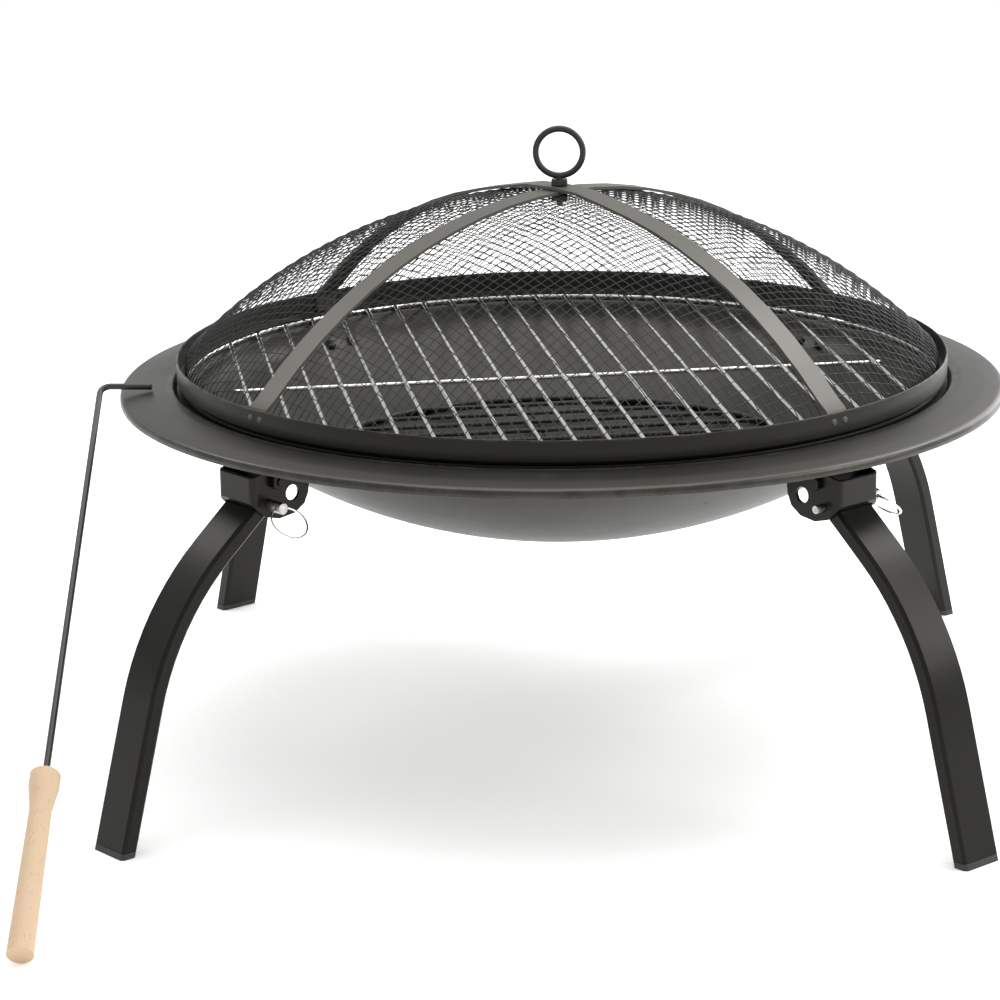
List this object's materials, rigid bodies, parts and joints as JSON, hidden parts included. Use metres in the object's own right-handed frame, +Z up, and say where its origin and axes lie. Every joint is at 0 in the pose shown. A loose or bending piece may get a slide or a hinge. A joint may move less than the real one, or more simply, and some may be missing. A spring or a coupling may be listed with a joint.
{
  "type": "fire pit with grate",
  "caption": "Round fire pit: pressed steel bowl on folding legs with lock pins, a chrome cooking grate, a charcoal grate, a domed spark screen and a poker.",
  "frame": {"origin": "on the floor, in the middle of the rectangle that the whole object covers, the leaning poker included", "axes": "+Z up; +Y the longest way across, away from the poker's handle; +X across, away from the poker"},
  "size_m": [0.5686, 0.71, 0.3916],
  "materials": {
    "black_paint": "satin",
    "grey_paint": "satin",
    "black_wire": "matte",
    "chrome_wire": "polished",
    "plated_steel": "satin",
    "black_cap": "matte",
    "beech": "satin"
  },
  "bodies": {
    "pit": {"fire_bowl": "black_paint", "bracket_1": "black_paint", "bracket_2": "black_paint", "bracket_3": "black_paint", "bracket_4": "black_paint", "bracket_rivet_1a": "black_paint", "bracket_rivet_1b": "black_paint", "bracket_rivet_2a": "black_paint", "bracket_rivet_2b": "black_paint", "bracket_rivet_3a": "black_paint", "bracket_rivet_3b": "black_paint", "bracket_rivet_4a": "black_paint", "bracket_rivet_4b": "black_paint", "pivot_bolt_1": "black_paint", "pivot_bolt_2": "black_paint", "pivot_bolt_3": "black_paint", "pivot_bolt_4": "black_paint", "pivot_nut_1": "black_paint", "pivot_nut_2": "black_paint", "pivot_nut_3": "black_paint", "pivot_nut_4": "black_paint"},
    "charcoal": {"charcoal_grate": "black_wire"},
    "cooking": {"cooking_grate": "chrome_wire"},
    "screen": {"screen_band": "black_paint", "screen_mesh": "black_wire", "strap_lower": "grey_paint", "strap_upper": "grey_paint", "strap_rivet_1": "grey_paint", "strap_rivet_2": "grey_paint", "strap_rivet_3": "grey_paint", "strap_rivet_4": "grey_paint", "strap_rivet_5": "grey_paint", "strap_rivet_6": "grey_paint", "strap_rivet_7": "grey_paint", "strap_rivet_8": "grey_paint", "handle_eye": "plated_steel", "handle_nut_upper": "plated_steel", "handle_nut_lower": "plated_steel"},
    "leg1": {"leg_1": "black_paint", "foot_cap_1": "black_cap"},
    "pin1": {"lock_pin_1": "plated_steel"},
    "ring1": {"pin_ring_1": "chrome_wire"},
    "leg2": {"leg_2": "black_paint", "foot_cap_2": "black_cap"},
    "pin2": {"lock_pin_2": "plated_steel"},
    "ring2": {"pin_ring_2": "chrome_wire"},
    "leg3": {"leg_3": "black_paint", "foot_cap_3": "black_cap"},
    "pin3": {"lock_pin_3": "plated_steel"},
    "ring3": {"pin_ring_3": "chrome_wire"},
    "leg4": {"leg_4": "black_paint", "foot_cap_4": "black_cap"},
    "pin4": {"lock_pin_4": "plated_steel"},
    "ring4": {"pin_ring_4": "chrome_wire"},
    "poker": {"poker_rod": "black_paint", "poker_handle": "beech"}
  },
  "joints": [
    {"name": "charcoal_lift", "type": "slide", "parent": "pit", "child": "charcoal", "axis": [0, 0, 1], "range_m": [0, 0.08]},
    {"name": "cooking_lift", "type": "slide", "parent": "charcoal", "child": "cooking", "axis": [0, 0, 1], "range_m": [0, 0.12]},
    {"name": "screen_lift", "type": "slide", "parent": "cooking", "child": "screen", "axis": [0, 0, 1], "range_m": [0, 0.25]},
    {"name": "leg_fold_1", "type": "hinge", "parent": "pit", "child": "leg1", "pos_m": [0.17573, 0.24649, 0.2098], "axis": [-0.7071, 0.7071, 0], "range_deg": [0, 70]},
    {"name": "leg_fold_2", "type": "hinge", "parent": "pit", "child": "leg2", "pos_m": [-0.16722, 0.24649, 0.2098], "axis": [-0.7071, -0.7071, 0], "range_deg": [0, 70]},
    {"name": "leg_fold_3", "type": "hinge", "parent": "pit", "child": "leg3", "pos_m": [-0.16722, -0.09646, 0.2098], "axis": [0.7071, -0.7071, 0], "range_deg": [0, 70]},
    {"name": "leg_fold_4", "type": "hinge", "parent": "pit", "child": "leg4", "pos_m": [0.17573, -0.09646, 0.2098], "axis": [0.7071, 0.7071, 0], "range_deg": [0, 70]},
    {"name": "pin_pull_1", "type": "slide", "parent": "pit", "child": "pin1", "axis": [-0.7071, 0.7071, 0], "range_m": [0, 0.045]},
    {"name": "pin_pull_2", "type": "slide", "parent": "pit", "child": "pin2", "axis": [-0.7071, -0.7071, 0], "range_m": [0, 0.045]},
    {"name": "pin_pull_3", "type": "slide", "parent": "pit", "child": "pin3", "axis": [0.7071, -0.7071, 0], "range_m": [0, 0.045]},
    {"name": "pin_pull_4", "type": "slide", "parent": "pit", "child": "pin4", "axis": [0.7071, 0.7071, 0], "range_m": [0, 0.045]},
    {"name": "ring_swing_1", "type": "hinge", "parent": "pin1", "child": "ring1", "pos_m": [0.16051, 0.26861, 0.19562], "axis": [0.7071, 0.7071, 0], "range_deg": [-58, 30]},
    {"name": "ring_swing_2", "type": "hinge", "parent": "pin2", "child": "ring2", "pos_m": [-0.18934, 0.23127, 0.19562], "axis": [-0.7071, 0.7071, 0], "range_deg": [-58, 30]},
    {"name": "ring_swing_3", "type": "hinge", "parent": "pin3", "child": "ring3", "pos_m": [-0.15201, -0.11858, 0.19562], "axis": [-0.7071, -0.7071, 0], "range_deg": [-58, 30]},
    {"name": "ring_swing_4", "type": "hinge", "parent": "pin4", "child": "ring4", "pos_m": [0.19785, -0.08124, 0.19562], "axis": [0.7071, -0.7071, 0], "range_deg": [-58, 30]},
    {"name": "poker_lift", "type": "slide", "parent": "pit", "child": "poker", "axis": [0, 0, 1], "range_m": [0, 0.15]}
  ]
}
